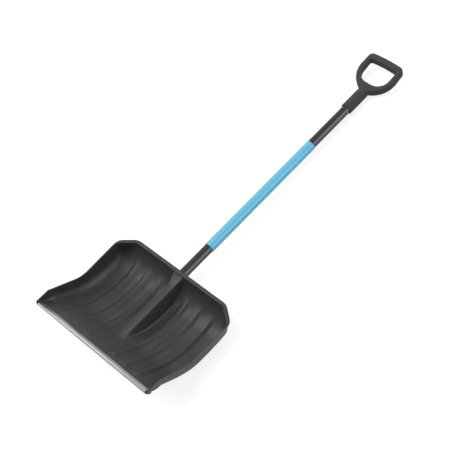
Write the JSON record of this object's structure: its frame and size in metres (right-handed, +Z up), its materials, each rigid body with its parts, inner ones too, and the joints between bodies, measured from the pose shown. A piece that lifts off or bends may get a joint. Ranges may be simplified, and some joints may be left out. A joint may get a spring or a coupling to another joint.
{
  "type": "snow shovel",
  "caption": "Long-handled snow shovel: ribbed plastic scoop with a centre ridge and metal front edge, straight tube with a coloured sleeve and a D-shaped grip.",
  "frame": {"origin": "on the floor under the middle of the part's bounding box, as it lies scoop up", "axes": "+X across the scoop, to the right when looking along +Y, +Y along the tube from the scoop to the handle, +Z up"},
  "size_m": [0.4766, 1.4063, 0.161],
  "materials": {
    "scoop_plastic": "satin moulded grain",
    "edge_metal": "extruded, slightly brushed",
    "tube_coat": "satin powder coat",
    "sleeve_plastic": "smooth satin",
    "handle_plastic": "satin moulded grain",
    "screw_steel": "zinc plated"
  },
  "bodies": {
    "root": {"blade": "scoop_plastic", "edge_strip": "edge_metal", "shaft_tube": "tube_coat", "grip_sleeve": "sleeve_plastic", "d_handle": "handle_plastic", "blade_screw": "screw_steel", "handle_screw": "screw_steel"}
  },
  "joints": []
}
